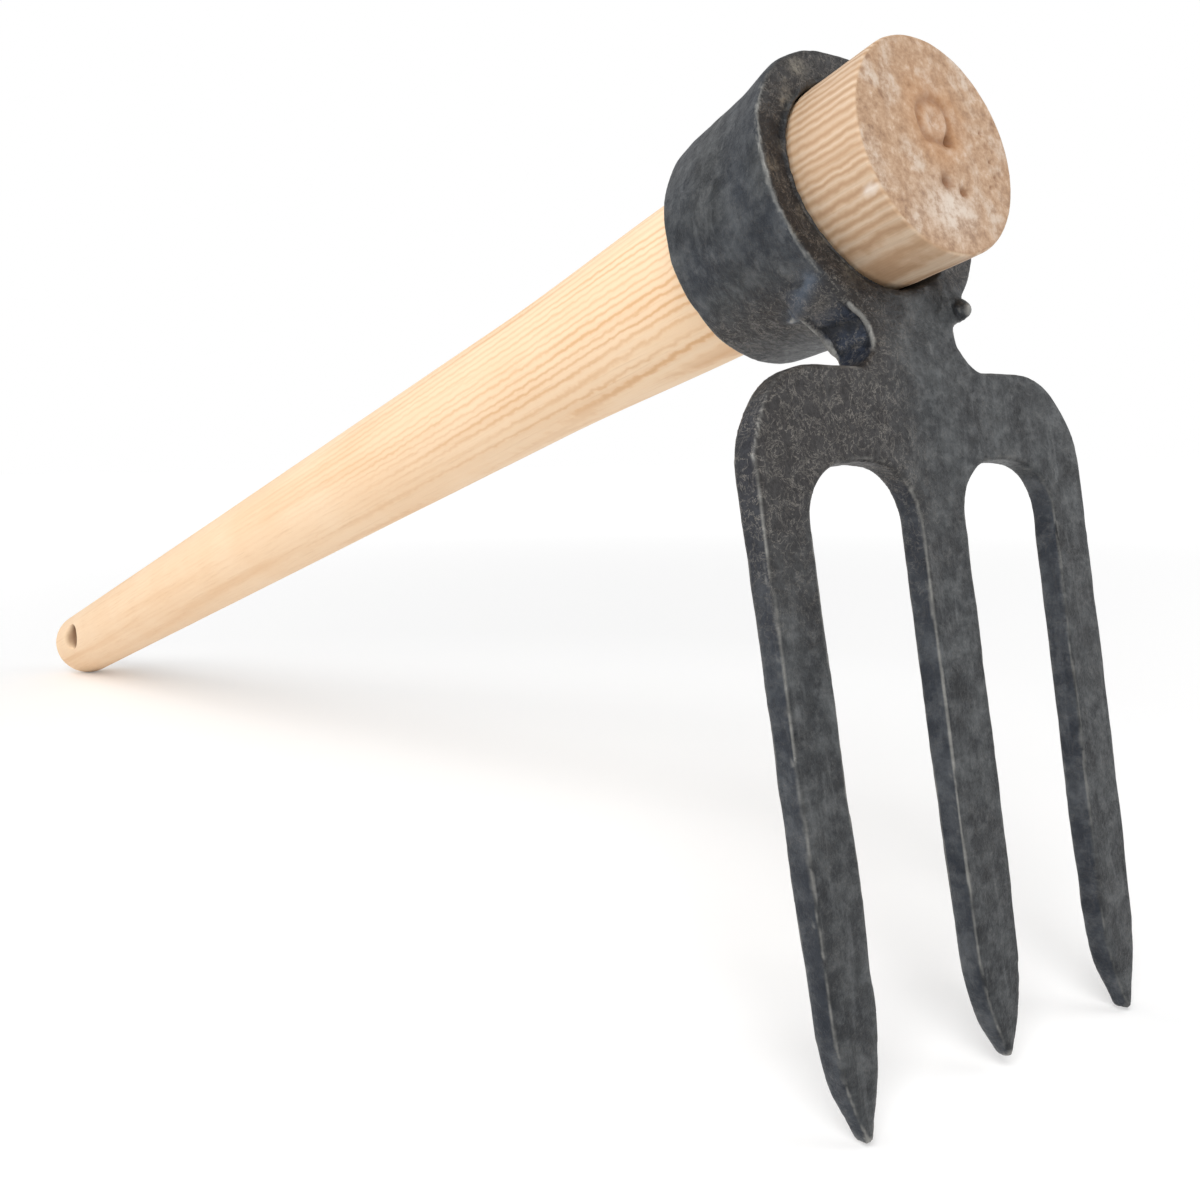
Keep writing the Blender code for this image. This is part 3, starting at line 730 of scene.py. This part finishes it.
def buildFloor():
    half = stage["floorHalf"]
    mesh = bpy.data.meshes.new("studioFloor")
    corners = [(-half, -half, -0.0002), (half, -half, -0.0002), (half, half, -0.0002), (-half, half, -0.0002)]
    mesh.from_pydata(corners, [], [(0, 1, 2, 3)])
    floor = addObject("studioFloor", mesh)
    mat, tree, shader = newMaterial("paperFloor")
    shader.inputs["Base Color"].default_value = linearColour(stage["floorColour"])
    shader.inputs["Roughness"].default_value = 0.9
    rays = addNode(tree, "ShaderNodeLightPath").outputs
    glossOrCamera = addNode(tree, "ShaderNodeMath", {0: rays["Is Camera Ray"], 1: rays["Is Glossy Ray"]},
                            operation="MAXIMUM").outputs[0]
    seen = addNode(tree, "ShaderNodeMath", {0: glossOrCamera, 1: rays["Is Transmission Ray"]},
                   operation="MAXIMUM").outputs[0]
    # away from the lamps the paper glows more, so that it stays white out to the horizon
    place = addNode(tree, "ShaderNodeTexCoord").outputs["Object"]
    reach = addNode(tree, "ShaderNodeVectorMath", {0: place}, operation="LENGTH").outputs["Value"]
    glow = times(tree, seen, spread(tree, reach, 0.5, 2.6, stage["nearGlow"], stage["farGlow"]))
    tree.links.new(glow, shader.inputs["Emission Strength"])
    shader.inputs["Emission Color"].default_value = (1.0, 1.0, 1.0, 1.0)
    mesh.materials.append(mat)


def buildWorld():
    world = bpy.data.worlds.new("studio")
    bpy.context.scene.world = world
    world.use_nodes = True
    tree = world.node_tree
    rays = addNode(tree, "ShaderNodeLightPath").outputs
    seen = addNode(tree, "ShaderNodeMath", {0: rays["Is Camera Ray"], 1: rays["Is Transmission Ray"]},
                   operation="MAXIMUM").outputs[0]
    strength = spread(tree, seen, 0.0, 1.0, stage["worldStrength"], 1.0)
    background = tree.nodes["Background"]
    background.inputs["Color"].default_value = (1.0, 1.0, 1.0, 1.0)
    tree.links.new(strength, background.inputs["Strength"])


def buildLamp(name, place, aim, size, power):
    data = bpy.data.lights.new(name, "AREA")
    data.shape = "SQUARE"
    data.size = size
    data.energy = power
    lamp = bpy.data.objects.new(name, data)
    bpy.context.scene.collection.objects.link(lamp)
    lamp.location = place
    lamp.rotation_euler = (Vector(aim) - Vector(place)).to_track_quat("-Z", "Y").to_euler()


camera = {
    "place": (-0.2543, -0.5626, 0.1493),
    "yaw": math.radians(37.70),  # from +Y towards +X
    "down": math.radians(6.39),
    "roll": math.radians(0.71),
    "lens": 37.19,
}


def buildCamera():
    data = bpy.data.cameras.new("studioCamera")
    data.sensor_width = 36.0
    data.lens = camera["lens"]
    data.clip_start = 0.01
    eye = bpy.data.objects.new("studioCamera", data)
    bpy.context.scene.collection.objects.link(eye)
    yaw, down, roll = camera["yaw"], camera["down"], camera["roll"]
    look = Vector((math.sin(yaw) * math.cos(down), math.cos(yaw) * math.cos(down), -math.sin(down)))
    right = Vector((math.cos(yaw), -math.sin(yaw), 0.0))
    below = look.cross(right)
    turnedRight = math.cos(roll) * right + math.sin(roll) * below
    turnedBelow = -math.sin(roll) * right + math.cos(roll) * below
    matrix = Matrix((turnedRight, -turnedBelow, -look)).transposed().to_4x4()
    matrix.translation = Vector(camera["place"])
    eye.matrix_world = matrix
    bpy.context.scene.camera = eye


print("setting the stage")
buildFloor()
buildWorld()
buildLamp("keyLamp", (-1.1, -1.2, 1.5), (0.0, -0.2, 0.12), 1.1, 21.0)
buildLamp("fillLamp", (1.3, -1.3, 0.9), (0.0, -0.2, 0.12), 1.2, 8.0)
buildLamp("backLamp", (-0.6, 1.4, 1.5), (0.0, 0.0, 0.1), 1.2, 5.0)
buildLamp("sideLamp", (-1.7, 0.1, 0.75), (0.0, 0.0, 0.12), 1.2, 8.0)
buildCamera()
bpy.context.scene.view_settings.view_transform = "Standard"
